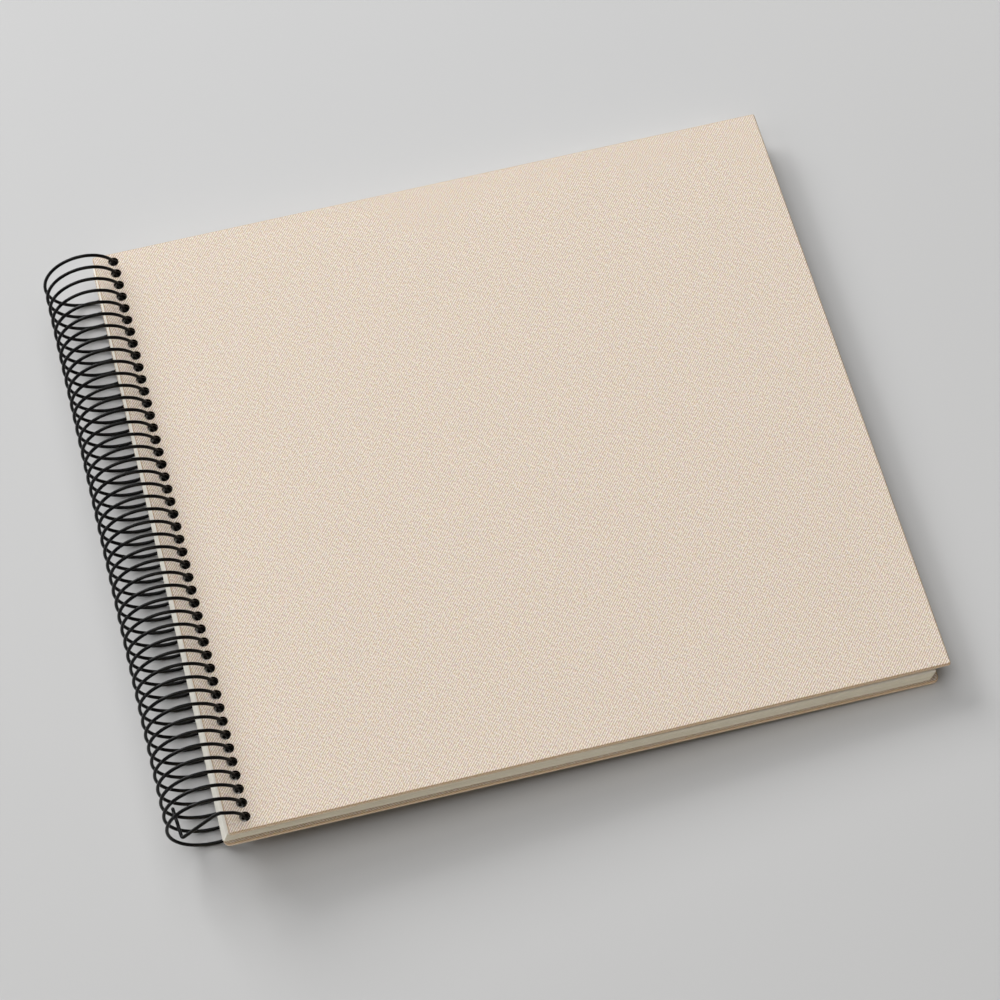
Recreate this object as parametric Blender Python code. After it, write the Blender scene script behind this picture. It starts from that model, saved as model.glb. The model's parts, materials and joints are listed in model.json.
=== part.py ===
"""Coil-bound sketchbook lying closed on a table.

Two cloth-wrapped board covers and a stack of drawing sheets are punched along the spine, and one long
wire coil runs through every hole. The coil is much wider than the stack is thick, so it lifts the spine
off the table: the book rests on the coil and on the fore-edge of its back cover, tilted by TILT.

Everything is laid out in the book's own frame and then set down on the table by one empty. In the book's
frame the coil's axis is the Y axis, X runs across the sheets to the fore-edge, Z is up through the stack,
and Y = 0 is the near edge of the front cover. Every turning piece has its origin on that axis.
"""

from math import asin, atan2, cos, degrees, hypot, pi, radians, sin, sqrt

import bmesh
import bpy
from mathutils import Matrix, Vector
from mathutils.geometry import delaunay_2d_cdt

MM = 0.001

# Covers
FRONT_HEIGHT = 290.0 * MM        # along the spine
FRONT_WIDTH = 305.0 * MM         # from the spine edge to the fore-edge
BACK_HEIGHT = 290.5 * MM
BACK_WIDTH = 303.0 * MM
CLOTH = 0.25 * MM
BOARD = 1.5 * MM
TURN_IN_CLOTH = 0.20 * MM        # the turned-in flap is pressed thinner than the face
LINING = 0.12 * MM
GLUE_GAP = 0.05 * MM             # between glued layers
LINING_GAP = 0.03 * MM
TURN_IN = 16.0 * MM              # width of the flap folded over the board's edges
LINING_MARGIN = 4.0 * MM
LINING_SPINE_MARGIN = 14.0 * MM  # the lining starts beyond the punched strip
COVER_THICKNESS = CLOTH + GLUE_GAP + BOARD + GLUE_GAP + TURN_IN_CLOTH + LINING_GAP + LINING

# Sheets
SHEET_WIDTH = 298.8 * MM
SHEET_HEIGHT = 288.6 * MM
LEAF_COUNT = 6                   # sheets that turn on their own; the rest lie in the pad
LEAF_THICKNESS = 0.2 * MM
LEAF_GAP = 0.1 * MM
PAD_THICKNESS = 5.3 * MM
STACK_GAP = 0.15 * MM            # between the sheets and each cover
SHEET_SLIP = 2.4 * MM            # how far the lowest sheet has slipped towards the spine
SHEET_NEAR = 1.5 * MM            # near edge of the sheets, behind the near edge of the front cover
BACK_NEAR = 0.1 * MM             # near edge of the back cover, a little behind it
FRONT_SKEW = radians(-0.18)      # the front cover lies turned a little one way on the coil
SHEET_SKEW = radians(0.28)       # and the sheets and back cover a little the other way
BACK_SKEW = radians(0.17)

# Coil
PITCH = 6.35 * MM
HOLE_COUNT = 45
HOLE_RADIUS = 2.22 * MM          # a worn 11/64 inch punch
HOLE_TOP_MARGIN = 4.5 * MM       # from the front cover's far edge to its first hole
WIRE_RADIUS = 0.75 * MM
COIL_RADIUS = 16.5 * MM          # to the middle of the wire
AXIS_TO_SPINE = 7.5 * MM         # from the coil's axis to the front cover's spine edge
AXIS_TO_TOP = 6.1 * MM           # from the coil's axis up to the front cover's face
SEGMENTS_PER_TURN = 12
START_ANGLE = -60.0              # degrees; the coil's far end is cut off under the back cover
CRIMP_ANGLE = 74.0               # degrees; the near end leaves the helix here, past the last hole
TAIL_RADIUS = 14.3 * MM          # the crimped tail runs inside the coil
TAIL_ANGLES = (141.0, 149.0)     # degrees, at the tail's bend and at its tip
TAIL_ENDS = (1.6 * MM, 16.7 * MM)
BEND_RADIUS = 2.2 * MM
BEND_STEPS = 4

# Motion: the coil and the leaves turn with the front cover, each at its own fixed ratio.
COVER_TRAVEL = 184.0             # degrees
COIL_RATIO = 0.72
LEAF_RATIOS = [0.985 - 0.012 * index for index in range(LEAF_COUNT)]
CREEP_SHARE = 0.44               # part of the wire's creep that lies before its hole's middle

# Places that follow from the dimensions above
COIL_OUTER = COIL_RADIUS + WIRE_RADIUS
FRONT_SPINE = AXIS_TO_SPINE
SHEET_SPINE = AXIS_TO_SPINE - 0.4 * MM
BACK_SPINE = AXIS_TO_SPINE - 2.6 * MM
FRONT_FACE = AXIS_TO_TOP
SHEETS_TOP = FRONT_FACE - COVER_THICKNESS - STACK_GAP
PAD_TOP = SHEETS_TOP - LEAF_COUNT * (LEAF_THICKNESS + LEAF_GAP)
PAD_BOTTOM = PAD_TOP - PAD_THICKNESS
BACK_FACE = PAD_BOTTOM - STACK_GAP - COVER_THICKNESS
SHEETS_DEPTH = SHEETS_TOP - PAD_BOTTOM

FORE_EDGE_X = BACK_SPINE + BACK_WIDTH + BACK_HEIGHT * sin(BACK_SKEW)
TILT = asin(COIL_OUTER / hypot(FORE_EDGE_X, BACK_FACE)) - atan2(-BACK_FACE, FORE_EDGE_X)


def hole_column(height):
    """How far from the axis the wire runs at this height in the stack."""
    chord_radius = COIL_RADIUS * (1 + cos(pi / SEGMENTS_PER_TURN)) / 2
    return sqrt(chord_radius ** 2 - height ** 2)


def rest_offset(ratio):
    """Y of the wire from its hole's middle, at rest, in a piece that turns at this ratio to the cover.

    A turning coil works like a screw, so the wire creeps along Y in the holes as the book opens. It
    starts to one side of the middle and ends on the other.
    """
    creep = PITCH * (COIL_RATIO - ratio) * COVER_TRAVEL / 360
    return -CREEP_SHARE * creep


def wire_place(angle):
    """Y of the wire where it has turned through this many degrees, counted from the first hole."""
    front_height = FRONT_FACE - COVER_THICKNESS / 2
    front_angle = degrees(asin(front_height / COIL_RADIUS))
    at_front = FRONT_HEIGHT - HOLE_TOP_MARGIN + rest_offset(1.0)
    return at_front - PITCH * (angle - front_angle) / 360


def hole_centres(height, ratio):
    """Middles of the 45 holes of a sheet at this height that turns at this ratio to the cover."""
    column = hole_column(height)
    angle = degrees(atan2(height, column))
    first = wire_place(angle) - rest_offset(ratio)
    return [(column, first - PITCH * index) for index in range(HOLE_COUNT)]


def rectangle(spine, near, width, height, skew=0.0):
    """Corners of a sheet whose near spine corner is at (spine, near)."""
    right = Vector((cos(skew), -sin(skew)))
    up = Vector((sin(skew), cos(skew)))
    corner = Vector((spine, near))
    return [
        corner,
        corner + right * width,
        corner + right * width + up * height,
        corner + up * height,
    ]


def inset(corners, left, right, near, far):
    """The same rectangle with each side moved in."""
    a, b, _, d = corners
    across = (b - a).normalized()
    along = (d - a).normalized()
    width = (b - a).length - left - right
    height = (d - a).length - near - far
    start = a + across * left + along * near
    return [
        start,
        start + across * width,
        start + across * width + along * height,
        start + along * height,
    ]


def hole_outline(centre, sides):
    """A punched hole: a polygon whose flat sides are HOLE_RADIUS from its middle."""
    turn = pi / 4 if sides == 4 else pi / 2
    radius = HOLE_RADIUS / cos(pi / sides)
    x, y = centre
    return [
        (x + radius * cos(turn + 2 * pi * k / sides), y + radius * sin(turn + 2 * pi * k / sides))
        for k in range(sides)
    ]


def plate(corners, low, high, holes=(), sides=4):
    """A flat plate between two heights, with its punched holes, as a bmesh."""
    points = []
    edges = []
    for outline in [corners] + [hole_outline(centre, sides) for centre in holes]:
        first = len(points)
        points += [Vector(point) for point in outline]
        edges += [(first + k, first + (k + 1) % len(outline)) for k in range(len(outline))]
    filled = delaunay_2d_cdt(points, edges, [], 1, 1e-7)
    punched = [Vector(centre) for centre in holes]

    bm = bmesh.new()
    verts = [bm.verts.new((point.x, point.y, low)) for point in filled[0]]
    for triangle in filled[2]:
        middle = sum((filled[0][index] for index in triangle), Vector((0, 0))) / 3
        if all((middle - centre).length > HOLE_RADIUS for centre in punched):
            bm.faces.new([verts[index] for index in triangle])
    lifted = bmesh.ops.extrude_face_region(bm, geom=list(bm.faces), use_keep_orig=True)
    upper = [item for item in lifted["geom"] if isinstance(item, bmesh.types.BMVert)]
    bmesh.ops.translate(bm, verts=upper, vec=(0, 0, high - low))
    bmesh.ops.recalc_face_normals(bm, faces=bm.faces)
    return bm


def to_mesh(bm, name):
    mesh = bpy.data.meshes.new(name)
    bm.to_mesh(mesh)
    bm.free()
    return mesh


def board_space(corners, outer_face, inward, depth, flap_start):
    """What the cloth is folded round: the board's place and the window between the flaps, as one body."""
    pocket = inset(corners, CLOTH, CLOTH, CLOTH, CLOTH)
    bm = plate(pocket, *span(outer_face, inward, CLOTH, flap_start))
    bmesh.ops.dissolve_limit(bm, angle_limit=radians(1), verts=bm.verts, edges=bm.edges)
    bm.faces.ensure_lookup_table()
    inner = max(bm.faces, key=lambda face: inward * face.calc_center_median().z)
    bmesh.ops.inset_region(bm, faces=[inner], thickness=TURN_IN - CLOTH, use_even_offset=True)
    pushed = bmesh.ops.extrude_discrete_faces(bm, faces=[inner])["faces"][0]
    bmesh.ops.translate(bm, verts=pushed.verts, vec=(0, 0, inward * depth))
    bmesh.ops.recalc_face_normals(bm, faces=bm.faces)
    return bm


def material(name, colour, roughness, metallic=0.0):
    made = bpy.data.materials.new(name)
    made.use_nodes = True
    shader = made.node_tree.nodes["Principled BSDF"]
    shader.inputs["Base Color"].default_value = (*colour, 1.0)
    shader.inputs["Roughness"].default_value = roughness
    shader.inputs["Metallic"].default_value = metallic
    return made


def place(name, data, book, finish):
    """Put a mesh or curve into the scene as one node of the book."""
    part = bpy.data.objects.new(name, data)
    part.parent = book
    data.materials.append(material(name, *finish))
    bpy.context.scene.collection.objects.link(part)
    return part


def cut(part, name, bm):
    """Cut a closed shape out of a part."""
    cutter = bpy.data.objects.new(name, to_mesh(bm, name))
    cutter.parent = part.parent
    cutter.hide_render = True
    cutter.display_type = "WIRE"
    bpy.context.scene.collection.objects.link(cutter)
    boolean = part.modifiers.new(name, "BOOLEAN")
    boolean.operation = "DIFFERENCE"
    boolean.solver = "EXACT"
    boolean.object = cutter


CLOTH_FINISH = ((0.66, 0.56, 0.47), 0.85)
BOARD_FINISH = ((0.42, 0.36, 0.29), 0.9)
LINING_FINISH = ((0.80, 0.76, 0.67), 0.8)
PAPER_FINISH = ((0.86, 0.82, 0.72), 0.85)
WIRE_FINISH = ((0.012, 0.012, 0.013), 0.35, 0.6)


def span(outer_face, inward, start, end):
    """Heights of a layer that begins and ends this deep under a cover's outer face, lowest first."""
    return sorted((outer_face + inward * start, outer_face + inward * end))


def add_cover(prefix, corners, outer_face, inward, ratio, book):
    """A cover: cloth folded round a board, with a paper lining glued over the flaps inside."""
    board_start = CLOTH + GLUE_GAP
    board_end = board_start + BOARD
    flap_start = board_end + GLUE_GAP
    flap_end = flap_start + TURN_IN_CLOTH
    lining_start = flap_end + LINING_GAP
    middle = outer_face + inward * COVER_THICKNESS / 2
    holes = hole_centres(middle, ratio)

    whole = plate(corners, *span(outer_face, inward, 0.0, flap_end), holes, sides=6)
    cloth = place(f"{prefix}_cloth", to_mesh(whole, f"{prefix}_cloth"), book, CLOTH_FINISH)
    space = board_space(corners, outer_face, inward, BOARD, flap_start)
    cut(cloth, f"{prefix}_board_space", space)

    edge = CLOTH + GLUE_GAP
    board_corners = inset(corners, edge, edge, edge, edge)
    board = plate(board_corners, *span(outer_face, inward, board_start, board_end), holes)
    place(f"{prefix}_board", to_mesh(board, f"{prefix}_board"), book, BOARD_FINISH)

    lining_corners = inset(
        corners, LINING_SPINE_MARGIN, LINING_MARGIN, LINING_MARGIN, LINING_MARGIN
    )
    lining = plate(lining_corners, *span(outer_face, inward, lining_start, COVER_THICKNESS))
    place(f"{prefix}_lining", to_mesh(lining, f"{prefix}_lining"), book, LINING_FINISH)


def add_sheet(name, low, high, ratio, book):
    """A sheet, or the pad of sheets that stay down, punched like every other."""
    middle = (low + high) / 2
    slip = SHEET_SLIP * (SHEETS_TOP - middle) / SHEETS_DEPTH
    corners = rectangle(SHEET_SPINE - slip, SHEET_NEAR, SHEET_WIDTH, SHEET_HEIGHT, SHEET_SKEW)
    sheet = plate(corners, low, high, hole_centres(middle, ratio))
    place(name, to_mesh(sheet, name), book, PAPER_FINISH)


def on_coil(angle, radius, y):
    """The point at this angle round the axis; 0 is towards the fore-edge and 90 is up."""
    return Vector((radius * cos(radians(angle)), y, radius * sin(radians(angle))))


def rounded_bend(before, corner, after):
    """Points of an arc-like bend that takes the place of a sharp corner."""
    start = corner + (before - corner).normalized() * BEND_RADIUS
    end = corner + (after - corner).normalized() * BEND_RADIUS
    points = []
    for step in range(BEND_STEPS + 1):
        t = step / BEND_STEPS
        points.append(start * (1 - t) ** 2 + corner * 2 * t * (1 - t) + end * t ** 2)
    return points


def wire_route():
    """The middle of the wire, from its far end round every turn to the crimped near end."""
    last_angle = 360.0 * (HOLE_COUNT - 1) + CRIMP_ANGLE
    step = 360.0 / SEGMENTS_PER_TURN
    count = int((last_angle - START_ANGLE) // step)
    angles = [START_ANGLE + step * index for index in range(count + 1)]
    helix = [on_coil(angle, COIL_RADIUS, wire_place(angle)) for angle in angles]
    leave = on_coil(last_angle, COIL_RADIUS, wire_place(last_angle))
    bend = on_coil(TAIL_ANGLES[0], TAIL_RADIUS, TAIL_ENDS[0])
    tip = on_coil(TAIL_ANGLES[1], TAIL_RADIUS, TAIL_ENDS[1])
    return helix + [leave] + rounded_bend(leave, bend, tip) + [tip]


def add_coil(book):
    curve = bpy.data.curves.new("binding_coil", "CURVE")
    curve.dimensions = "3D"
    curve.bevel_depth = WIRE_RADIUS
    curve.bevel_resolution = 0
    curve.use_fill_caps = True
    route = wire_route()
    spline = curve.splines.new("POLY")
    spline.points.add(len(route) - 1)
    for point, place_on_route in zip(spline.points, route):
        point.co = (*place_on_route, 1.0)
    place("binding_coil", curve, book, WIRE_FINISH)


def add_book_frame(front, back):
    """The empty that sets the book down on the table, centred on the origin."""
    turned = Matrix.Rotation(TILT, 3, "Y")
    right = max((turned @ Vector((*corner, FRONT_FACE))).x for corner in front)
    near = min(corner.y for corner in front + back)
    far = max(corner.y for corner in front + back)
    book = bpy.data.objects.new("book_frame", None)
    book.location = ((COIL_OUTER - right) / 2, -(near + far) / 2, COIL_OUTER)
    book.rotation_euler = (0, TILT, 0)
    bpy.context.scene.collection.objects.link(book)
    return book


def build():
    for old in list(bpy.data.objects):
        bpy.data.objects.remove(old)
    front = rectangle(FRONT_SPINE, 0.0, FRONT_WIDTH, FRONT_HEIGHT, FRONT_SKEW)
    back = rectangle(BACK_SPINE, BACK_NEAR, BACK_WIDTH, BACK_HEIGHT, BACK_SKEW)
    book = add_book_frame(front, back)
    add_cover("front_cover", front, FRONT_FACE, -1, 1.0, book)
    for index, ratio in enumerate(LEAF_RATIOS):
        high = SHEETS_TOP - index * (LEAF_THICKNESS + LEAF_GAP)
        add_sheet(f"leaf_{index + 1:02d}", high - LEAF_THICKNESS, high, ratio, book)
    add_sheet("sheet_pad", PAD_BOTTOM, PAD_TOP, 0.0, book)
    add_cover("back_cover", back, BACK_FACE, 1, 0.0, book)
    add_coil(book)


build()
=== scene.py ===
"""Looks for the coil-bound sketchbook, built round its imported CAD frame.

Shapes are made in millimetres in the book's own frame: the coil's axis is the Y axis, X runs across the
sheets to the fore-edge, Z is up through the stack, and Y = 0 is the near edge of the front cover. One
matrix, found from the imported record, then sets each piece down on the table.
"""

import json
import random
from math import asin, atan2, cos, degrees, pi, radians, sin, sqrt

import bmesh
import bpy
from mathutils import Matrix, Vector
from mathutils.geometry import delaunay_2d_cdt


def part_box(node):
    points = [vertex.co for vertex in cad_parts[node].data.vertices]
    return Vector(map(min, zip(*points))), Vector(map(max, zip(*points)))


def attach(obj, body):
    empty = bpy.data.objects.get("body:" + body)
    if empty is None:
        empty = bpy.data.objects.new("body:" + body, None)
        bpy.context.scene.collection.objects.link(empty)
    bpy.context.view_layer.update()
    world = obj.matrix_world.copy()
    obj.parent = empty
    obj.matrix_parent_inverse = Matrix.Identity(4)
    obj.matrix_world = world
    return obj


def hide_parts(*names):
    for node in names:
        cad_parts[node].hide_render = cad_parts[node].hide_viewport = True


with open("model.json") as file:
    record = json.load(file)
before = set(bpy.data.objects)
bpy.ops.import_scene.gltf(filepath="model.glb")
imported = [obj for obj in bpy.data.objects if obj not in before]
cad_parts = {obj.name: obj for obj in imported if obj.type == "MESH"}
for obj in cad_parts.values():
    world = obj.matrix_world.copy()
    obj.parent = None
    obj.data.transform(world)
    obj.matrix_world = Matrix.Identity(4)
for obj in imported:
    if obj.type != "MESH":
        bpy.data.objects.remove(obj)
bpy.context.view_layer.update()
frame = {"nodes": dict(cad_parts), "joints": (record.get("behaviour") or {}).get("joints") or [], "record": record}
random.seed(31)

MM = 0.001

# Covers, as in the CAD
FRONT_HEIGHT = 290.0             # along the spine
FRONT_WIDTH = 305.0              # from the spine edge to the fore-edge
BACK_HEIGHT = 290.5
BACK_WIDTH = 303.0
CLOTH = 0.25                     # over the board's outer face
BOARD = 1.5
TURN_IN_CLOTH = 0.20             # in the flaps
LINING = 0.12
GLUE_GAP = 0.05
LINING_GAP = 0.03
TURN_IN = 16.0                   # width of the flap folded over the board's edges
CLOTH_DEPTH = CLOTH + GLUE_GAP + BOARD + GLUE_GAP + TURN_IN_CLOTH
COVER_THICKNESS = CLOTH_DEPTH + LINING_GAP + LINING
EDGE_RADIUS = 0.6                # the cloth rounds the board's edges
FRONT_CORNER_RADIUS = 0.9
BACK_CORNER_RADIUS = 2.6

# The finer shape of the cloth
CLOTH_SKIN = 0.2                 # thickness given to the cloth's outer surface
ARC_STEPS = 5                    # steps round each of the two bends at an edge
EDGE_ARC = EDGE_RADIUS * pi / 2
EDGE_SIDE = CLOTH_DEPTH - 2 * EDGE_RADIUS
EDGE_WRAP = 2 * EDGE_ARC + EDGE_SIDE             # cloth from the outer face's rim to the flap's
EDGE_SHADE = [0.0, 0.8, 1.0, 0.9, 0.6, 0.3, 0.3, 0.6, 0.9, 1.0, 0.8, 0.0]         # painted shade, darkest on the bends, in rows round the edge
LIP = [(0.42, 0.0), (0.2, 0.025), (0.06, 0.08), (0.0, 0.2)]      # (beyond the hole's radius, depth)
MITRE_GAP = 0.16                 # between two flaps where they end inside
MITRE_TIP = 0.3                  # the share of that gap at the corner's end
MITRE_START = 1.3                # the flaps part this far in from the corner's edges
MITRE_END = 0.5                  # and the slit ends this far past their inner corner

# Sheets
SHEET_WIDTH = 298.8
SHEET_HEIGHT = 288.6
LEAF_COUNT = 6
LEAF_THICKNESS = 0.2
LEAF_GAP = 0.1
PAD_THICKNESS = 5.3
PAD_SHEETS = 20
PAD_SHEET_GAP = 0.03             # air between two of the pad's sheets
PAD_UNEVENNESS = (0.1, 0.12)     # how far a sheet may be off, across and along the spine
SET_BACK_SHEETS = 2              # the lowest sheets lie back a little, which leaves a dark line
SET_BACK = 0.8
SHEET_TONES = (0.25, 0.75)       # from the paper's dark tone (0) to its light one (1)
STACK_GAP = 0.15
SHEET_SLIP = 2.4                 # the lowest sheet's, towards the spine; those above slip less
SHEET_NEAR = 1.5                 # the near edges, from the front cover's
BACK_NEAR = 0.1
FRONT_SKEW = radians(-0.18)
SHEET_SKEW = radians(0.28)
BACK_SKEW = radians(0.17)
SHARP_CORNER = 0.04              # radius of a corner that looks sharp

# How outlines are filled with triangles
INSIDE_LOOPS = 1                 # what delaunay_2d_cdt calls only what lies within the loops
SAME_POINT = 1e-7                # points closer than this are one

# Coil
PITCH = 6.35
HOLE_COUNT = 45
HOLE_RADIUS = 2.22
HOLE_SIDES = 24
PAD_HOLE_SIDES = 16
HOLE_TOP_MARGIN = 4.5            # from the far edge of the front cover to its first hole
WIRE_RADIUS = 0.75
COIL_RADIUS = 16.5
AXIS_TO_SPINE = 7.5              # to the front cover's spine edge
AXIS_TO_TOP = 6.1                # and up to its outer face
CAD_SEGMENTS_PER_TURN = 12
SEGMENTS_PER_TURN = 60
START_ANGLE = -60.0              # of the wire's far end, in degrees round the axis
CRIMP_ANGLE = 74.0               # where the wire leaves its last turn
TAIL_RADIUS = 14.3               # how far from the axis its crimped end lies
TAIL_ANGLES = (141.0, 149.0)     # the crimped end's two angles
TAIL_ENDS = (1.6, 16.7)          # and their places along the axis
LEAVE_BEND = 3.0                 # the wire leaves the last turn in an easy bend
TAIL_BEND = 1.2                  # and is crimped back sharply
BEND_STEPS = 12
TURN_TRIM = 4                    # points of the last turn that the easy bend takes the place of
BEND_TRIM = 3                    # points left off each end of that bend, to join it smoothly
DOME_ANGLES = (0.5, 0.95, 1.3, 1.5)              # rows of the rounded tip, in radians from its rim
WIRE_ROUNDNESS = 4               # bevel resolution, for 12 sides
COVER_TRAVEL = 184.0             # degrees
COIL_RATIO = 0.72                # how far the coil turns for each degree of the cover
FIRST_LEAF_RATIO = 0.985         # and the same for the leaves
LEAF_RATIO_STEP = 0.012
LEAF_RATIOS = [FIRST_LEAF_RATIO - LEAF_RATIO_STEP * index for index in range(LEAF_COUNT)]
CREEP_SHARE = 0.44               # how much of the wire's creep lies before a hole's middle, at rest

# Where each layer's spine edge and face lie, from the coil's axis
SHEET_BEYOND = 0.4               # further out at the spine than the front cover
BACK_BEYOND = 2.6
FRONT_SPINE = AXIS_TO_SPINE
SHEET_SPINE = AXIS_TO_SPINE - SHEET_BEYOND
BACK_SPINE = AXIS_TO_SPINE - BACK_BEYOND
FRONT_FACE = AXIS_TO_TOP
SHEETS_TOP = FRONT_FACE - COVER_THICKNESS - STACK_GAP
PAD_TOP = SHEETS_TOP - LEAF_COUNT * (LEAF_THICKNESS + LEAF_GAP)
PAD_BOTTOM = PAD_TOP - PAD_THICKNESS
BACK_FACE = PAD_BOTTOM - STACK_GAP - COVER_THICKNESS
SHEETS_DEPTH = SHEETS_TOP - PAD_BOTTOM

# The weave of the book cloth
WARP_SPACING = 0.606             # threads that run along the spine
WEFT_SPACING = 0.727             # threads that run across
THREAD_WANDER = 0.5              # the strip in which a thread strays from its straight line
THREAD_ROUNDNESS = 0.6           # power that shapes a thread's cross-section; 1 is a plain arch
THREAD_CHANGE = 0.22             # how gradually one thread goes under the other
SLUB_RATE = 0.6                  # how fast a thread's tone changes along it
SLUB_SPREAD = 7.3                # how unlike two neighbouring threads are
SLUB_APART = 40.0                # keeps the weft's slubs unlike the warp's
TWIST_HIGHLIGHT_PHASE = 0.8                # radians
WEAVE_RELIEF = 0.12
SLUB_RELIEF = 0.35               # how much a thread's slubs add to its height
HEIGHT_MIDDLE = 0.7

# The weave's tone, from CLOTH_DARK (0) to CLOTH_LIGHT (1), and what changes it
TONE_MIDDLE = 0.56
TONE_SLUBS = 0.5
TONE_GRAIN = 0.7
# partly the threads' twist, partly painted highlight along the diagonal that faces the light
TONE_TWIST_HIGHLIGHT = 0.57
# painted shade: the weave's hollows darker, the tops of its threads lighter
TONE_HOLLOW_SHADE = 0.5

# Colours, linear
CLOTH_DARK = (0.58, 0.46, 0.35, 1.0)
CLOTH_LIGHT = (0.97, 0.855, 0.745, 1.0)
CLOTH_TINT = (-0.06, 0.04, 0.09)                 # how far a crossing's colour strays
CLOTH_EDGE_SHADE = (0.68, 0.58, 0.46)                # painted shade: what the cloth on a rounded edge keeps of its colour
HOLE_SHADE = (0.085, 0.055, 0.04)                # painted shade: what a hole's wall keeps of its colour
BOARD_DARK = (0.14, 0.105, 0.075, 1.0)
BOARD_LIGHT = (0.32, 0.26, 0.20, 1.0)
LINING_DARK = (0.70, 0.66, 0.57, 1.0)
LINING_LIGHT = (0.80, 0.76, 0.67, 1.0)
PAPER_DARK = (0.77, 0.745, 0.675, 1.0)
PAPER_LIGHT = (0.93, 0.91, 0.855, 1.0)
WIRE_DARK = (0.003, 0.003, 0.003, 1.0)
WIRE_LIGHT = (0.008, 0.008, 0.0085, 1.0)
WIRE_RUBBED = (0.03, 0.03, 0.033, 1.0)
FLOOR_DARK = (0.585, 0.585, 0.585, 1.0)
FLOOR_LIGHT = (0.615, 0.615, 0.615, 1.0)

# Where the camera stands and looks, in the book's frame
CAMERA_EYE = (-13.48, -629.69, 1325.95)
CAMERA_TARGET = (151.28, 123.71, 6.1)
CAMERA_ROLL = -2.01              # degrees
CAMERA_LENS = 129.62
SENSOR_WIDTH = 36.0
CLIP_START = 0.01                # metres

# Studio: name, azimuth and elevation in degrees, distance, size, power, colour
WHITE = (1.0, 1.0, 1.0)
SOFTBOXES = [
    ("key", 29.0, 25.0, 4.2, (2.2, 1.5), 150.0, WHITE),
    ("rim", 0.0, 45.0, 3.5, (2.0, 1.2), 27.0, WHITE),
    ("overhead", 0.0, 85.0, 3.0, (3.0, 3.0), 42.0, WHITE),
    ("side", 90.0, 35.0, 3.5, (2.5, 2.0), 13.0, WHITE),
    ("front_fill", 184.0, 4.0, 3.0, (2.0, 0.3), 21.0, (1.0, 0.82, 0.52)),
    ("spine_fill", 96.0, 4.0, 3.0, (1.6, 0.3), 8.0, (0.92, 0.97, 1.0)),
]
ROOM_LIGHT = 0.065               # light from the room itself, all round
BACKDROP = 0.4                   # what the camera sees of it past the floor
FLOOR_REACH = 3.0                # from the middle to each edge, in metres


def book_matrix():
    """From the book's frame in millimetres to the model's frame in metres."""
    mount = next(m for m in frame["record"]["mounts"] if m["name"] == "back_face")
    axis = Vector(mount["axis"])
    tilt = atan2(-axis.x, -axis.z)
    hinge = Vector(frame["joints"][0]["pos_m"])
    near_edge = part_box("front_cover_cloth")[0].y
    place = Matrix.Translation((hinge.x, near_edge, hinge.z))
    return place @ Matrix.Rotation(tilt, 4, "Y") @ Matrix.Scale(MM, 4)


BOOK = book_matrix()


def hole_column(height):
    """X of the wire at this height in the stack."""
    # The CAD's wire runs in chords, on average a little inside its circle.
    chord_radius = COIL_RADIUS * (1 + cos(pi / CAD_SEGMENTS_PER_TURN)) / 2
    return sqrt(chord_radius ** 2 - height ** 2)


def rest_offset(ratio):
    """Y of the wire from its hole's middle, at rest, in a piece that turns at this ratio."""
    creep = PITCH * (COIL_RATIO - ratio) * COVER_TRAVEL / 360
    return -CREEP_SHARE * creep


def wire_place(angle):
    """Y of the wire where it has turned through this many degrees, counted from the first hole."""
    front_height = FRONT_FACE - COVER_THICKNESS / 2
    front_angle = degrees(asin(front_height / COIL_RADIUS))
    at_front = FRONT_HEIGHT - HOLE_TOP_MARGIN + rest_offset(1.0)
    return at_front - PITCH * (angle - front_angle) / 360


def hole_centres(height, ratio):
    """Middles of the holes of a sheet at this height that turns at this ratio to the cover."""
    column = hole_column(height)
    angle = degrees(atan2(height, column))
    first = wire_place(angle) - rest_offset(ratio)
    return [Vector((column, first - PITCH * index)) for index in range(HOLE_COUNT)]


class Rectangle:
    """A sheet's or cover's outline: its near spine corner, size and small turn on the table."""

    def __init__(self, spine, near, width, height, skew=0.0):
        self.corner = Vector((spine, near))
        self.right = Vector((cos(skew), -sin(skew)))
        self.up = Vector((sin(skew), cos(skew)))
        self.width = width
        self.height = height

    def outward(self, point):
        """From the rectangle's own coordinates to the book's."""
        return self.corner + self.right * point[0] + self.up * point[1]

    def inward(self, point):
        """From the book's coordinates to the rectangle's own."""
        offset = Vector(point) - self.corner
        return Vector((offset.dot(self.right), offset.dot(self.up)))

    def outline(self, inset, radius, steps=5):
        """Rounded rectangle, this far inside the edges: (point, outward direction) round from the near
        spine corner, each corner an arc of the same number of steps."""
        radius = max(radius - inset, SHARP_CORNER)
        low = inset + radius
        right = self.width - low
        far = self.height - low
        corners = [((low, low), 180), ((right, low), 270), ((right, far), 0), ((low, far), 90)]
        points = []
        for (x, y), start in corners:
            for step in range(steps + 1):
                angle = radians(start + 90 * step / steps)
                direction = Vector((cos(angle), sin(angle)))
                points.append((Vector((x, y)) + direction * radius, direction))
        return points


def ring(centre, radius, sides):
    """A closed loop whose flat sides are the radius away from its centre."""
    corner = radius / cos(pi / sides)
    return [
        centre + Vector((cos(2 * pi * k / sides), sin(2 * pi * k / sides))) * corner
        for k in range(sides)
    ]


def fill(loops, is_open):
    """Triangles between closed loops of 2-D points, but none whose middle is_open says to drop.

    Returns the points and the triangles; the loops' own points come first and in order.
    """
    points = []
    edges = []
    for loop in loops:
        first = len(points)
        points += [Vector(point) for point in loop]
        edges += [(first + k, first + (k + 1) % len(loop)) for k in range(len(loop))]
    out = delaunay_2d_cdt(points, edges, [], INSIDE_LOOPS, SAME_POINT)
    triangles = []
    for triangle in out[2]:
        middle = sum((out[0][index] for index in triangle), Vector((0, 0))) / 3
        if not is_open(middle):
            triangles.append(tuple(triangle))
    return out[0], triangles


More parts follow.
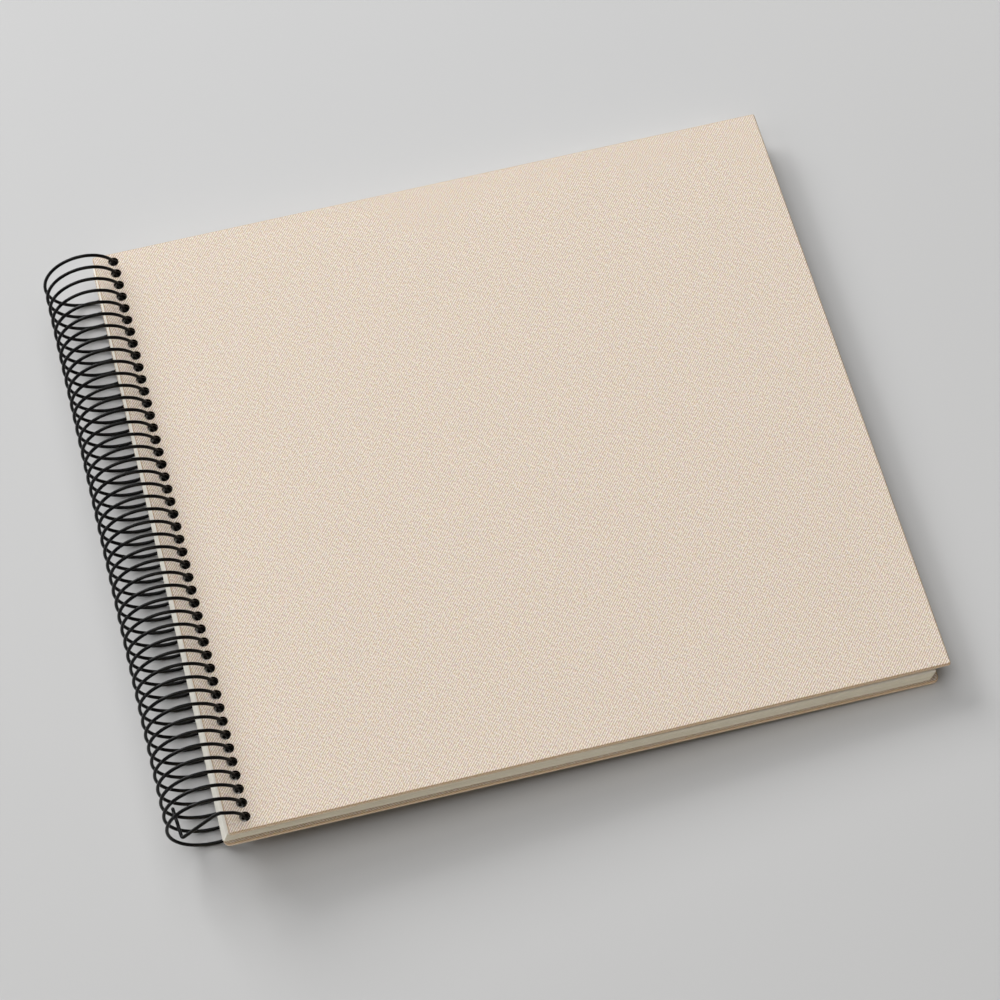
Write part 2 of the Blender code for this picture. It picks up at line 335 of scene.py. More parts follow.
def finish_piece(name, mesh, body, look, replaced=()):
    """Link a mesh made in the book's frame, with its look, body and the nodes it stands for."""
    piece = bpy.data.objects.new(name, mesh)
    mesh.transform(BOOK)
    mesh.materials.append(look)
    bpy.context.scene.collection.objects.link(piece)
    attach(piece, body)
    if replaced:
        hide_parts(*replaced)
    return piece


# ---------------------------------------------------------------- materials


class Nodes:
    """A material's node tree, with short calls for the nodes used here."""

    def __init__(self, name):
        self.material = bpy.data.materials.new(name)
        self.material.use_nodes = True
        self.tree = self.material.node_tree
        self.shader = self.tree.nodes["Principled BSDF"]

    def add(self, kind, **settings):
        node = self.tree.nodes.new(kind)
        for key, value in settings.items():
            setattr(node, key, value)
        return node

    def connect(self, value, socket):
        if isinstance(value, bpy.types.NodeSocket):
            self.tree.links.new(value, socket)
        else:
            socket.default_value = value

    def math(self, operation, first, second=0.5, third=None):
        node = self.add("ShaderNodeMath", operation=operation)
        self.connect(first, node.inputs[0])
        self.connect(second, node.inputs[1])
        if third is not None:
            self.connect(third, node.inputs[2])
        return node.outputs[0]

    def vector(self, operation, first, second):
        node = self.add("ShaderNodeVectorMath", operation=operation)
        self.connect(first, node.inputs[0])
        self.connect(second, node.inputs[1])
        return node.outputs[0]

    def combine(self, x, y, z=0.0):
        node = self.add("ShaderNodeCombineXYZ")
        for value, socket in zip((x, y, z), node.inputs):
            self.connect(value, socket)
        return node.outputs[0]

    def noise(self, place, scale, detail=2.0, roughness=0.5):
        node = self.add("ShaderNodeTexNoise")
        self.connect(place, node.inputs["Vector"])
        node.inputs["Scale"].default_value = scale
        node.inputs["Detail"].default_value = detail
        node.inputs["Roughness"].default_value = roughness
        return node

    def white_noise(self, x, y):
        node = self.add("ShaderNodeTexWhiteNoise", noise_dimensions="2D")
        self.connect(self.combine(x, y), node.inputs["Vector"])
        return node

    def plus(self, base, value, share):
        """base + value x share"""
        return self.math("MULTIPLY_ADD", value, share, base)

    def remap(self, value, low, high, to_low, to_high):
        """From one range to another, with soft ends."""
        node = self.add("ShaderNodeMapRange", interpolation_type="SMOOTHSTEP")
        for number, socket in zip((value, low, high, to_low, to_high), node.inputs):
            self.connect(number, socket)
        return node.outputs[0]

    def mix(self, share, first, second):
        """One colour into another."""
        node = self.add("ShaderNodeMix", data_type="RGBA")
        self.connect(share, node.inputs["Factor"])
        self.connect(first, node.inputs[6])
        self.connect(second, node.inputs[7])
        return node.outputs[2]

    def blend(self, share, first, second):
        """One number into another."""
        node = self.add("ShaderNodeMix", data_type="FLOAT")
        self.connect(share, node.inputs["Factor"])
        self.connect(first, node.inputs[2])
        self.connect(second, node.inputs[3])
        return node.outputs[0]

    def shade_hole_walls(self, colour):
        """The same colour, but dark brown on the walls of the holes: painted shade, where little light reaches."""
        in_hole = self.add("ShaderNodeAttribute", attribute_name="in_hole").outputs["Fac"]
        return self.mix(in_hole, colour, self.vector("MULTIPLY", colour, HOLE_SHADE))

    def bump(self, height, distance, strength=1.0):
        node = self.add("ShaderNodeBump")
        node.inputs["Strength"].default_value = strength
        node.inputs["Distance"].default_value = distance
        self.connect(height, node.inputs["Height"])
        self.connect(node.outputs[0], self.shader.inputs["Normal"])


def thread_numbers(n):
    """Which warp and which weft thread this is, with fractions, both sets wandering a little."""
    place = n.add("ShaderNodeUVMap", uv_map="weave").outputs[0]
    wander = n.noise(place, scale=0.11)
    shift = n.vector("SUBTRACT", wander.outputs["Color"], (0.5, 0.5, 0.5))
    shift = n.vector("MULTIPLY", shift, (THREAD_WANDER, THREAD_WANDER, 0.0))
    split = n.add("ShaderNodeSeparateXYZ")
    n.connect(n.vector("ADD", place, shift), split.inputs[0])
    warp = n.math("DIVIDE", split.outputs[0], WARP_SPACING)
    weft = n.math("DIVIDE", split.outputs[1], WEFT_SPACING)
    return warp, weft


def thread_shape(n, warp, weft):
    """Where the warp is on top (1) or the weft (0), and the height of the thread on top."""
    warp_wave = n.math("SINE", n.math("MULTIPLY", warp, pi))
    weft_wave = n.math("SINE", n.math("MULTIPLY", weft, pi))
    over = n.remap(n.math("MULTIPLY", warp_wave, weft_wave), -THREAD_CHANGE, THREAD_CHANGE, 0.0, 1.0)
    warp_round = n.math("ABSOLUTE", warp_wave)
    weft_round = n.math("ABSOLUTE", weft_wave)

    def height(across, along):
        arch = n.math("POWER", across, THREAD_ROUNDNESS)
        return n.math("MULTIPLY", arch, n.math("MULTIPLY_ADD", along, 0.5, 0.5))

    return over, n.blend(over, height(weft_round, warp_round), height(warp_round, weft_round))


def thread_tone(n, warp, weft, warp_row, weft_row, over):
    """The slubs: each thread has its own tone, which changes slowly along it."""
    warp_spot = n.combine(
        n.math("MULTIPLY", warp_row, SLUB_SPREAD), n.math("MULTIPLY", weft, SLUB_RATE)
    )
    weft_spot = n.combine(
        n.math("MULTIPLY", warp, SLUB_RATE), n.math("MULTIPLY", weft_row, SLUB_SPREAD), SLUB_APART
    )
    warp_tone = n.noise(warp_spot, scale=1.0)
    weft_tone = n.noise(weft_spot, scale=1.0)
    return n.blend(over, weft_tone.outputs[0], warp_tone.outputs[0])


def cloth_material(name):
    """Plain-woven book cloth: two sets of slubby threads, with fine grain, a diagonal that is partly twist and
    partly painted highlight, and painted shade in the weave's hollows and on its rounded edges.
    """
    n = Nodes(name)
    warp, weft = thread_numbers(n)
    warp_row = n.math("FLOOR", warp)
    weft_row = n.math("FLOOR", weft)
    over, height = thread_shape(n, warp, weft)
    thread = thread_tone(n, warp, weft, warp_row, weft_row, over)

    # Each crossing is set against two of its neighbours: grain without blotches.
    crossing = n.white_noise(warp_row, weft_row)
    beside = n.white_noise(n.math("ADD", warp_row, 1.0), weft_row)
    above = n.white_noise(warp_row, n.math("ADD", weft_row, 1.0))
    neighbours = n.math("ADD", beside.outputs["Value"], above.outputs["Value"])
    grain = n.plus(crossing.outputs["Value"], neighbours, -0.5)

    # Partly the twist of the threads and partly painted highlight: the colour is lighter along the one diagonal
    # that faces the light.
    diagonal = n.math("SUBTRACT", weft, warp)
    twist_highlight = n.math("SINE", n.math("MULTIPLY_ADD", diagonal, pi, TWIST_HIGHLIGHT_PHASE))

    tone = n.plus(TONE_MIDDLE, n.math("SUBTRACT", thread, 0.5), TONE_SLUBS)
    tone = n.plus(tone, grain, TONE_GRAIN)
    tone = n.plus(tone, twist_highlight, TONE_TWIST_HIGHLIGHT)
    # Painted shade: darker down in the weave's hollows, lighter on the threads' tops.
    tone = n.plus(tone, n.math("SUBTRACT", height, HEIGHT_MIDDLE), TONE_HOLLOW_SHADE)
    colour = n.mix(tone, CLOTH_DARK, CLOTH_LIGHT)
    tint = n.vector("SUBTRACT", crossing.outputs["Color"], (0.5, 0.5, 0.5))
    colour = n.vector("ADD", colour, n.vector("MULTIPLY", tint, CLOTH_TINT))
    # Painted shade: the cloth round the edges is darkened, as it lies in shadow.
    mark_share = n.add("ShaderNodeAttribute", attribute_name="edge_shade_share").outputs["Fac"]
    colour = n.mix(mark_share, colour, n.vector("MULTIPLY", colour, CLOTH_EDGE_SHADE))
    n.connect(colour, n.shader.inputs["Base Color"])
    n.connect(n.remap(thread, 0.2, 0.8, 0.92, 0.76), n.shader.inputs["Roughness"])
    n.shader.inputs["Sheen Weight"].default_value = 0.12
    n.shader.inputs["Sheen Roughness"].default_value = 0.5
    n.shader.inputs["Specular IOR Level"].default_value = 0.3
    n.bump(n.plus(height, thread, SLUB_RELIEF), WEAVE_RELIEF * MM, 0.75)
    return n.material


def fibre_material(name, dark, light, grain, relief, roughness):
    """Paper or board: fibres of slightly different tone and a fine tooth."""
    n = Nodes(name)
    place = n.add("ShaderNodeTexCoord").outputs["Object"]
    along = n.vector("MULTIPLY", place, (1.0, 0.35, 1.0))
    fibres = n.noise(along, scale=grain, detail=4.0, roughness=0.65)
    clouds = n.noise(place, scale=18.0, detail=3.0)
    tone = n.plus(fibres.outputs[0], n.math("SUBTRACT", clouds.outputs[0], 0.5), 0.5)
    # The walls of the holes are darkened with painted shade.
    n.connect(n.shade_hole_walls(n.mix(tone, dark, light)), n.shader.inputs["Base Color"])
    n.connect(n.remap(fibres.outputs[0], 0.3, 0.7, *roughness), n.shader.inputs["Roughness"])
    n.shader.inputs["Specular IOR Level"].default_value = 0.25
    n.bump(fibres.outputs[0], relief * MM, 0.6)
    return n.material


def paper_material(name, dark, light):
    """Drawing paper: each sheet has its own tone, kept in the mesh."""
    n = Nodes(name)
    place = n.add("ShaderNodeTexCoord").outputs["Object"]
    own = n.add("ShaderNodeAttribute", attribute_name="sheet_tone").outputs["Fac"]
    along = n.vector("MULTIPLY", place, (1.0, 1.0, 0.6))
    fibres = n.noise(along, scale=2600.0, detail=3.0, roughness=0.6)
    clouds = n.noise(place, scale=14.0)
    tone = n.plus(own, n.math("SUBTRACT", fibres.outputs[0], 0.5), 0.55)
    tone = n.plus(tone, n.math("SUBTRACT", clouds.outputs[0], 0.5), 0.35)
    # The walls of the holes are darkened with painted shade.
    n.connect(n.shade_hole_walls(n.mix(tone, dark, light)), n.shader.inputs["Base Color"])
    n.connect(n.remap(fibres.outputs[0], 0.3, 0.7, 0.8, 0.95), n.shader.inputs["Roughness"])
    n.shader.inputs["Specular IOR Level"].default_value = 0.25
    n.bump(fibres.outputs[0], 0.04 * MM, 0.5)
    return n.material


def wire_material(name):
    """Steel wire in satin black enamel, with the rubs and small dents a coil picks up."""
    n = Nodes(name)
    place = n.add("ShaderNodeTexCoord").outputs["Object"]
    rub = n.noise(place, scale=900.0, detail=3.0, roughness=0.6)
    cloud = n.noise(place, scale=120.0)
    mark_share = n.remap(rub.outputs[0], 0.62, 0.78, 0.0, 1.0)
    colour = n.mix(cloud.outputs[0], WIRE_DARK, WIRE_LIGHT)
    colour = n.mix(mark_share, colour, WIRE_RUBBED)
    n.connect(colour, n.shader.inputs["Base Color"])
    n.connect(n.remap(rub.outputs[0], 0.3, 0.7, 0.1, 0.22), n.shader.inputs["Roughness"])
    n.shader.inputs["Specular IOR Level"].default_value = 0.12
    n.bump(rub.outputs[0], 0.02 * MM, 0.4)
    return n.material


def floor_material(name):
    """Matt grey paper, very slightly uneven."""
    n = Nodes(name)
    place = n.add("ShaderNodeTexCoord").outputs["Object"]
    cloud = n.noise(place, scale=3.0, detail=3.0)
    colour = n.mix(cloud.outputs[0], FLOOR_DARK, FLOOR_LIGHT)
    n.connect(colour, n.shader.inputs["Base Color"])
    n.connect(n.remap(cloud.outputs[0], 0.3, 0.7, 0.75, 0.9), n.shader.inputs["Roughness"])
    n.shader.inputs["Specular IOR Level"].default_value = 0.2
    return n.material


# ------------------------------------------------------------------- covers


class Cover:
    """One cloth-wrapped cover, in its rectangle's own coordinates and depths below its outer face."""

    def __init__(self, rectangle, outer_face, inward, ratio, corner_radius):
        self.rectangle = rectangle
        self.outer_face = outer_face
        self.inward = inward
        self.corner_radius = corner_radius
        middle = outer_face + inward * COVER_THICKNESS / 2
        self.holes = [rectangle.inward(centre) for centre in hole_centres(middle, ratio)]

    def place(self, point, depth):
        flat = self.rectangle.outward(point)
        return (flat.x, flat.y, self.outer_face + self.inward * depth)

    def in_hole(self, point, radius=HOLE_RADIUS):
        nearest = min(self.holes, key=lambda hole: abs(hole.y - point.y))
        return (nearest - point).length < radius


def edge_profile():
    """The cloth's way round the board's edge: (inset, depth, distance along it from the outer rim)."""
    profile = []
    for step in range(ARC_STEPS + 1):
        angle = pi / 2 * step / ARC_STEPS
        inset = EDGE_RADIUS * (1 - sin(angle))
        depth = EDGE_RADIUS * (1 - cos(angle))
        profile.append((inset, depth, EDGE_ARC * step / ARC_STEPS))
    for step in range(ARC_STEPS + 1):
        angle = pi / 2 * step / ARC_STEPS
        inset = EDGE_RADIUS * (1 - cos(angle))
        depth = CLOTH_DEPTH - EDGE_RADIUS * (1 - sin(angle))
        profile.append((inset, depth, EDGE_ARC + EDGE_SIDE + EDGE_ARC * step / ARC_STEPS))
    return profile


class Slit:
    """The gap between two turned-in flaps at a corner, narrower towards the corner."""

    def __init__(self, corner, inner_corner):
        self.towards = (inner_corner - corner).normalized()
        self.start = corner + self.towards * MITRE_START * sqrt(2)
        end = inner_corner + self.towards * MITRE_END
        self.length = (end - self.start).length
        aside = Vector((-self.towards.y, self.towards.x)) * MITRE_GAP / 2
        tip = aside * MITRE_TIP
        self.outline = [self.start - tip, end - aside, end + aside, self.start + tip]

    def holds(self, point):
        offset = point - self.start
        share = offset.dot(self.towards) / self.length
        across = abs(offset.x * self.towards.y - offset.y * self.towards.x)
        return 0 < share < 1 and across < MITRE_GAP / 2 * (MITRE_TIP + (1 - MITRE_TIP) * share)


class ClothSkin:
    """The outer surface of a cover's cloth, built into a bmesh with the weave's own coordinates."""

    def __init__(self, cover):
        self.cover = cover
        self.width = cover.rectangle.width
        self.height = cover.rectangle.height
        self.rim = [point for point, _ in cover.rectangle.outline(EDGE_RADIUS, cover.corner_radius)]
        self.bm = bmesh.new()
        self.weave = self.bm.loops.layers.uv.new("weave")
        self.edge_shade_layer = self.bm.verts.layers.float.new("edge_shade_share")

    def vert(self, point, depth):
        return self.bm.verts.new(self.cover.place(point, depth))

    def add_face(self, verts, uvs, smooth=False):
        if self.cover.inward > 0:
            verts = list(reversed(verts))
            uvs = list(reversed(uvs))
        face = self.bm.faces.new(verts)
        face.smooth = smooth
        for loop, uv in zip(face.loops, uvs):
            loop[self.weave].uv = uv

    def add_wrapped_edge(self):
        """The cloth round the board's edge, darkened with painted shade where it is roundest; returns its two
        rims.
        """
        rows = []
        for (inset, depth, along), mark_share in zip(edge_profile(), EDGE_SHADE):
            outline = self.cover.rectangle.outline(inset, self.cover.corner_radius)
            verts = [self.vert(point, depth) for point, _ in outline]
            uvs = [rim + direction * along for rim, (_, direction) in zip(self.rim, outline)]
            # Each row's share of the painted shade on the edge.
            for row_vert in verts:
                row_vert[self.edge_shade_layer] = mark_share
            rows.append((verts, uvs))
        for (upper, upper_uvs), (lower, lower_uvs) in zip(rows, rows[1:]):
            for k in range(len(upper)):
                after = (k + 1) % len(upper)
                verts = [upper[k], lower[k], lower[after], upper[after]]
                uvs = [upper_uvs[k], lower_uvs[k], lower_uvs[after], upper_uvs[after]]
                self.add_face(verts, uvs, smooth=True)
        return rows[0][0], rows[-1][0]

    def add_outer_face(self, rim_verts):
        """The flat face, up to where the lip of each hole begins, and the lips."""
        lip_radius = HOLE_RADIUS + LIP[0][0]
        rings = [ring(hole, lip_radius, HOLE_SIDES) for hole in self.cover.holes]
        points, triangles = fill(
            [self.rim] + rings, lambda middle: self.cover.in_hole(middle, lip_radius)
        )
        count = len(self.rim)
        verts = rim_verts + [self.vert(point, 0.0) for point in points[count:]]
        for triangle in triangles:
            self.add_face([verts[i] for i in triangle], [points[i] for i in triangle])
        for index, hole in enumerate(self.cover.holes):
            first = count + index * HOLE_SIDES
            self.add_lip(hole, verts[first:first + HOLE_SIDES], rings[index])

    def add_lip(self, hole, before, before_points):
        """The cloth pressed down into a hole by the punch."""
        for beyond, depth in LIP[1:]:
            points = ring(hole, HOLE_RADIUS + beyond, HOLE_SIDES)
            verts = [self.vert(point, depth) for point in points]
            for k in range(HOLE_SIDES):
                after = (k + 1) % HOLE_SIDES
                corners = [before[k], before[after], verts[after], verts[k]]
                uvs = [before_points[k], before_points[after], points[after], points[k]]
                self.add_face(corners, uvs, smooth=True)
            before = verts
            before_points = points

    def add_flaps(self, rim_verts):
        """The turned-in flaps, parted along the mitre at each corner."""
        low = TURN_IN
        right = self.width - TURN_IN
        far = self.height - TURN_IN
        corners = ((0, 0), (self.width, 0), (self.width, self.height), (0, self.height))
        window = [Vector(point) for point in ((low, low), (right, low), (right, far), (low, far))]
        slits = [Slit(Vector(corner), inner) for corner, inner in zip(corners, window)]

        def is_open(middle):
            if low < middle.x < right and low < middle.y < far:
                return True
            return self.cover.in_hole(middle) or any(slit.holds(middle) for slit in slits)

        loops = [self.rim, window] + [slit.outline for slit in slits]
        loops += [ring(hole, HOLE_RADIUS, HOLE_SIDES) for hole in self.cover.holes]
        points, triangles = fill(loops, is_open)
        verts = {}
        for index in sorted(set(index for triangle in triangles for index in triangle)):
            if index < len(self.rim):
                verts[index] = rim_verts[index]
            else:
                verts[index] = self.vert(points[index], CLOTH_DEPTH)
        for triangle in triangles:
            side = self.nearest_side(sum((points[i] for i in triangle), Vector((0, 0))) / 3)
            turned = tuple(reversed(triangle))
            uvs = [self.flap_uv(points[i], side) for i in turned]
            self.add_face([verts[i] for i in turned], uvs)

    def nearest_side(self, point):
        distances = {
            "spine": point.x,
            "fore": self.width - point.x,
            "near": point.y,
            "far": self.height - point.y,
        }
        return min(distances, key=distances.get)

    def flap_uv(self, point, side):
        """Where a flap's point would be with the cloth laid flat."""
        if side == "spine":
            return (2 * EDGE_RADIUS - EDGE_WRAP - point.x, point.y)
        if side == "fore":
            return (2 * (self.width - EDGE_RADIUS) + EDGE_WRAP - point.x, point.y)
        if side == "near":
            return (point.x, 2 * EDGE_RADIUS - EDGE_WRAP - point.y)
        return (point.x, 2 * (self.height - EDGE_RADIUS) + EDGE_WRAP - point.y)

    def mesh(self):
        outer_rim, flap_rim = self.add_wrapped_edge()
        self.add_outer_face(outer_rim)
        self.add_flaps(flap_rim)
        mesh = bpy.data.meshes.new("cloth")
        self.bm.to_mesh(mesh)
        self.bm.free()
        return mesh


def plate_shape(rectangle, low, high, holes, inset=0.0, radius=SHARP_CORNER, hole_sides=HOLE_SIDES):
    """A flat punched plate between two heights: its points, its faces and which are hole walls."""
    outline = [point for point, _ in rectangle.outline(inset, radius, steps=3)]
    rings = [ring(hole, HOLE_RADIUS, hole_sides) for hole in holes]

    def is_punched(middle):
        nearest = min(holes, key=lambda hole: abs(hole.y - middle.y))
        return (nearest - middle).length < HOLE_RADIUS

    points, triangles = fill([outline] + rings, is_punched)
    flat = [rectangle.outward(point) for point in points]
    verts = [(p.x, p.y, low) for p in flat] + [(p.x, p.y, high) for p in flat]
    count = len(flat)
    faces = [tuple(reversed(triangle)) for triangle in triangles]
    faces += [tuple(index + count for index in triangle) for triangle in triangles]
    in_hole = [0.0] * (len(faces) + len(outline)) + [1.0] * (len(holes) * hole_sides)
    walls = [(0, len(outline), 1)]
    walls += [(len(outline) + k * hole_sides, hole_sides, -1) for k in range(len(holes))]
    for first, size, turn in walls:
        for k in range(size):
            a = first + k
            b = first + (k + 1) % size
            face = (a, b, b + count, a + count)
            faces.append(face if turn > 0 else tuple(reversed(face)))
    return verts, faces, in_hole


def make_mesh(name, verts, faces, in_hole):
    """A mesh that remembers which of its faces are the walls of punched holes."""
    mesh = bpy.data.meshes.new(name)
    mesh.from_pydata(verts, [], faces)
    mesh.attributes.new("in_hole", "FLOAT", "FACE").data.foreach_set("value", in_hole)
    mesh.update()
    return mesh


def add_cover(prefix, body, cover, cloth_look, board_look, lining_look):
    """A cover's board and cloth in their finer shapes; its lining keeps the CAD's."""
    edge = CLOTH + GLUE_GAP
    heights = sorted(cover.outer_face + cover.inward * depth for depth in (edge, edge + BOARD))
    shape = plate_shape(
        cover.rectangle, *heights, cover.holes, inset=edge, radius=cover.corner_radius
    )
    board = finish_piece(
        f"{prefix}_board_core", make_mesh(prefix, *shape), body, board_look,
        [f"{prefix}_board"],
    )
    cloth = finish_piece(
        f"{prefix}_book_cloth", ClothSkin(cover).mesh(), body, cloth_look,
        [f"{prefix}_cloth"],
    )
    thicken = cloth.modifiers.new("thickness", "SOLIDIFY")
    thicken.thickness = CLOTH_SKIN * MM
    thicken.offset = -1.0
    lining = frame["nodes"][f"{prefix}_lining"]
    lining.data.materials.clear()
    lining.data.materials.append(lining_look)


# ------------------------------------------------------------------- sheets


def sheet_rectangle(middle, shift=(0.0, 0.0)):
    """The outline of a sheet at this height; the lower it lies, the more it has slipped."""
    slip = SHEET_SLIP * (SHEETS_TOP - middle) / SHEETS_DEPTH
    return Rectangle(
        SHEET_SPINE - slip + shift[0], SHEET_NEAR + shift[1], SHEET_WIDTH, SHEET_HEIGHT, SHEET_SKEW
    )


def add_leaves(look):
    """The top sheets, which turn one after another."""
    for index, ratio in enumerate(LEAF_RATIOS):
        high = SHEETS_TOP - index * (LEAF_THICKNESS + LEAF_GAP)
        low = high - LEAF_THICKNESS
        middle = (low + high) / 2
        rectangle = sheet_rectangle(middle)
        holes = [rectangle.inward(centre) for centre in hole_centres(middle, ratio)]
        node = f"leaf_{index + 1:02d}"
        shape = plate_shape(rectangle, low, high, holes)
        mesh = make_mesh(node, *shape)
        tone_sheets(mesh, [len(shape[0])])
        finish_piece(f"{node}_sheet", mesh, node, look, [node])


def tone_sheets(mesh, sizes):
    """Give each sheet in a mesh its own small share of light or dark."""
    tones = mesh.attributes.new("sheet_tone", "FLOAT", "POINT")
    values = []
    for size in sizes:
        values += [random.uniform(*SHEET_TONES)] * size
    tones.data.foreach_set("value", values)


def add_pad(look):
    """The sheets that stay down, each cut a hair differently."""
    all_verts = []
    all_faces = []
    all_in_hole = []
    sizes = []
    step = PAD_THICKNESS / PAD_SHEETS
    centres = hole_centres((PAD_TOP + PAD_BOTTOM) / 2, 0.0)
    for index in range(PAD_SHEETS):
        high = PAD_TOP - index * step
        low = high - step + (PAD_SHEET_GAP if index < PAD_SHEETS - 1 else 0.0)
        middle = (low + high) / 2
        shift = [random.uniform(-most, most) for most in PAD_UNEVENNESS]
        if index >= PAD_SHEETS - SET_BACK_SHEETS:
            shift[1] = SET_BACK
        rectangle = sheet_rectangle(middle, shift)
        holes = [rectangle.inward(centre) for centre in centres]
        verts, faces, in_hole = plate_shape(
            rectangle, low, high, holes, hole_sides=PAD_HOLE_SIDES
        )
        first = len(all_verts)
        all_verts += verts
        all_faces += [tuple(first + i for i in face) for face in faces]
        all_in_hole += in_hole
        sizes.append(len(verts))
    mesh = make_mesh("pad", all_verts, all_faces, all_in_hole)
    tone_sheets(mesh, sizes)
    finish_piece("pad_sheets", mesh, "back_half", look, ["sheet_pad"])


# --------------------------------------------------------------------- coil


def on_coil(angle, radius, y):
    """A point this many degrees round the axis."""
    return Vector((radius * cos(radians(angle)), y, radius * sin(radians(angle))))


def rounded_bend(before, corner, after, reach):
    """A smooth curve in the place of a corner, from this far before it to this far after."""
    start = corner + (before - corner).normalized() * reach
    end = corner + (after - corner).normalized() * reach
    points = []
    for step in range(BEND_STEPS + 1):
        t = step / BEND_STEPS
        points.append(start * (1 - t) ** 2 + corner * 2 * t * (1 - t) + end * t ** 2)
    return points


def wire_route():
    """The middle of the wire, from its far end round every turn to the crimped near end."""
    last_angle = 360.0 * (HOLE_COUNT - 1) + CRIMP_ANGLE
    step = 360.0 / SEGMENTS_PER_TURN
    count = int((last_angle - START_ANGLE) // step)
    angles = [START_ANGLE + step * index for index in range(count + 1)]
    helix = [on_coil(angle, COIL_RADIUS, wire_place(angle)) for angle in angles]
    leave = on_coil(last_angle, COIL_RADIUS, wire_place(last_angle))
    bend = on_coil(TAIL_ANGLES[0], TAIL_RADIUS, TAIL_ENDS[0])
    tip = on_coil(TAIL_ANGLES[1], TAIL_RADIUS, TAIL_ENDS[1])
    tip -= (tip - bend).normalized() * WIRE_RADIUS
    leave_bend = rounded_bend(helix[-1], leave, bend, LEAVE_BEND)[BEND_TRIM:-BEND_TRIM]
    tail_bend = rounded_bend(leave, bend, tip, TAIL_BEND)
    return helix[:-TURN_TRIM] + leave_bend + tail_bend + [tip]


def add_coil(look):
    """The wire, round and smooth, with a rounded near end."""
    curve = bpy.data.curves.new("coil", "CURVE")
    curve.dimensions = "3D"
    curve.bevel_depth = WIRE_RADIUS * MM
    curve.bevel_resolution = WIRE_ROUNDNESS
    curve.use_fill_caps = True
    route = wire_route()
    # The near end is domed by points closer and closer together, each with a smaller radius.
    tip = route[-1]
    along = (tip - route[-2]).normalized()
    dome = [(tip + along * WIRE_RADIUS * sin(angle), cos(angle)) for angle in DOME_ANGLES]
    spline = curve.splines.new("POLY")
    spline.points.add(len(route) + len(dome) - 1)
    placed = [(point, 1.0) for point in route] + dome
    for spot, (point, radius) in zip(spline.points, placed):
        spot.co = (*(BOOK @ point), 1.0)
        spot.radius = radius
    curve.materials.append(look)
    coil = bpy.data.objects.new("coil_wire", curve)
    bpy.context.scene.collection.objects.link(coil)
    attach(coil, "coil")
    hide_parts("binding_coil")


# ---------------------------------------------------------- camera and light


def add_camera():
    """The camera, placed in the book's frame, level but for its small roll."""
    data = bpy.data.cameras.new("camera")
    data.lens = CAMERA_LENS
    data.sensor_width = SENSOR_WIDTH
    data.clip_start = CLIP_START
    camera = bpy.data.objects.new("camera", data)
    bpy.context.scene.collection.objects.link(camera)
    bpy.context.scene.camera = camera
    eye = Vector(CAMERA_EYE)
    forward = (Vector(CAMERA_TARGET) - eye).normalized()
    level = forward.cross(Vector((0, 0, 1))).normalized()
    upright = level.cross(forward)
    roll = radians(CAMERA_ROLL)
    right = level * cos(roll) + upright * sin(roll)
    up = upright * cos(roll) - level * sin(roll)
    turned = BOOK.to_3x3().normalized()
    axes = [turned @ axis for axis in (right, up, -forward)]
    rotation = Matrix(axes).transposed()
    camera.matrix_world = Matrix.Translation(BOOK @ eye) @ rotation.to_4x4()


def add_softbox(name, azimuth, elevation, distance, size, power, colour):
    """A rectangular soft light aimed at the book; azimuth is counted from the back towards the spine."""
    data = bpy.data.lights.new(name, "AREA")
    data.shape = "RECTANGLE"
    data.size, data.size_y = size
    data.energy = power
    data.color = colour
    light = bpy.data.objects.new(name, data)
    bpy.context.scene.collection.objects.link(light)
    turn = radians(azimuth)
    rise = radians(elevation)
    direction = Vector((-sin(turn) * cos(rise), cos(turn) * cos(rise), sin(rise)))
    aimed = (-direction).to_track_quat("-Z", "Y").to_matrix().to_4x4()
    light.matrix_world = Matrix.Translation(direction * distance) @ aimed


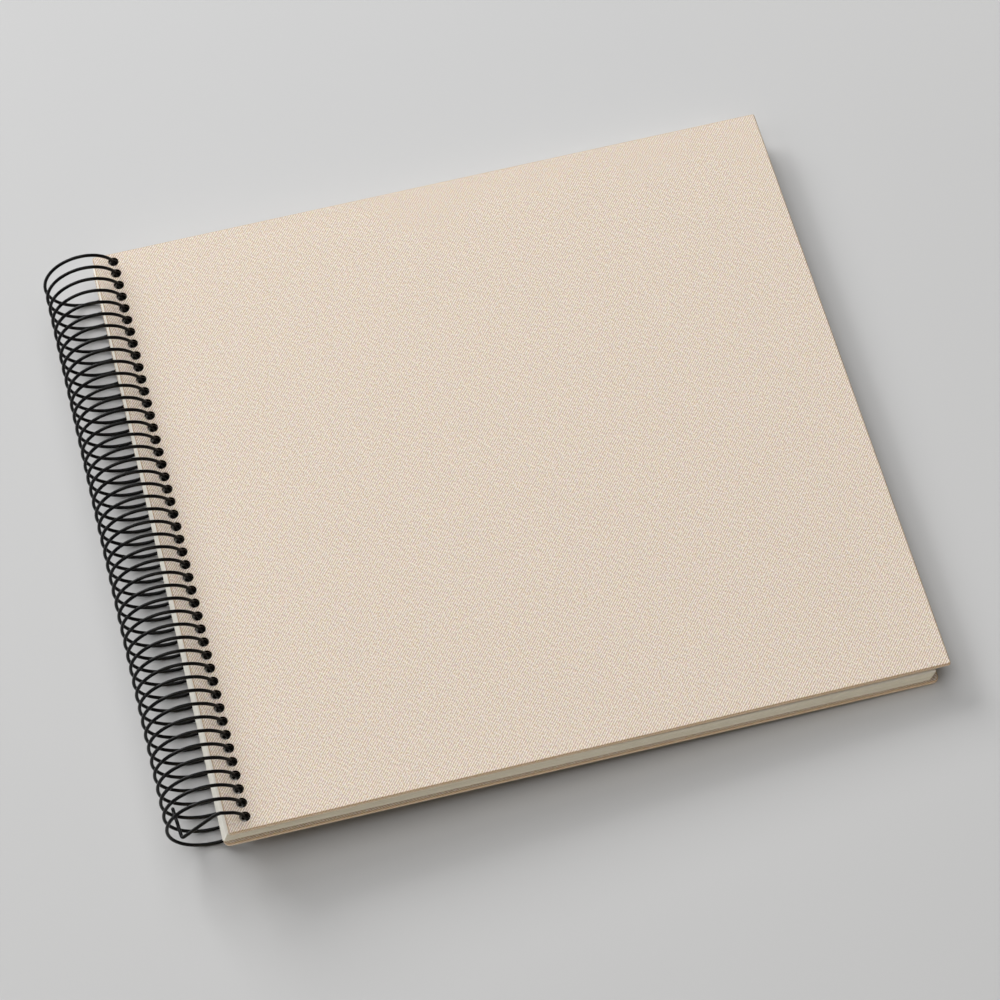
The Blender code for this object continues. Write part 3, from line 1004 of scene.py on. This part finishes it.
def add_floor():
    bm = bmesh.new()
    bmesh.ops.create_grid(bm, x_segments=8, y_segments=8, size=FLOOR_REACH)
    mesh = bpy.data.meshes.new("floor")
    bm.to_mesh(mesh)
    bm.free()
    mesh.materials.append(floor_material("studio_floor"))
    floor = bpy.data.objects.new("floor", mesh)
    bpy.context.scene.collection.objects.link(floor)


def add_room():
    """Even light from all sides, and a backdrop of its own brightness for the camera."""
    world = bpy.data.worlds.new("studio")
    world.use_nodes = True
    tree = world.node_tree
    background = tree.nodes["Background"]
    background.inputs["Color"].default_value = (1.0, 1.0, 1.0, 1.0)
    path = tree.nodes.new("ShaderNodeLightPath")
    strength = tree.nodes.new("ShaderNodeMapRange")
    tree.links.new(path.outputs["Is Camera Ray"], strength.inputs["Value"])
    strength.inputs["To Min"].default_value = ROOM_LIGHT
    strength.inputs["To Max"].default_value = BACKDROP
    tree.links.new(strength.outputs[0], background.inputs["Strength"])
    bpy.context.scene.world = world
    bpy.context.scene.view_settings.view_transform = "Standard"


# -------------------------------------------------------------------- build


add_camera()
add_floor()
add_room()
for softbox in SOFTBOXES:
    add_softbox(*softbox)

book_cloth = cloth_material("book_cloth")
board = fibre_material(
    "grey_board", BOARD_DARK, BOARD_LIGHT, grain=1500.0, relief=0.08, roughness=(0.85, 0.98)
)
lining = fibre_material(
    "lining_paper", LINING_DARK, LINING_LIGHT, grain=900.0, relief=0.03, roughness=(0.8, 0.92)
)
paper = paper_material("drawing_paper", PAPER_DARK, PAPER_LIGHT)
wire = wire_material("black_wire")

front_rectangle = Rectangle(FRONT_SPINE, 0.0, FRONT_WIDTH, FRONT_HEIGHT, FRONT_SKEW)
back_rectangle = Rectangle(BACK_SPINE, BACK_NEAR, BACK_WIDTH, BACK_HEIGHT, BACK_SKEW)
front = Cover(front_rectangle, FRONT_FACE, -1, 1.0, FRONT_CORNER_RADIUS)
back = Cover(back_rectangle, BACK_FACE, 1, 0.0, BACK_CORNER_RADIUS)
add_cover("front_cover", "front_cover", front, book_cloth, board, lining)
add_cover("back_cover", "back_half", back, book_cloth, board, lining)
add_leaves(paper)
add_pad(paper)
add_coil(wire)
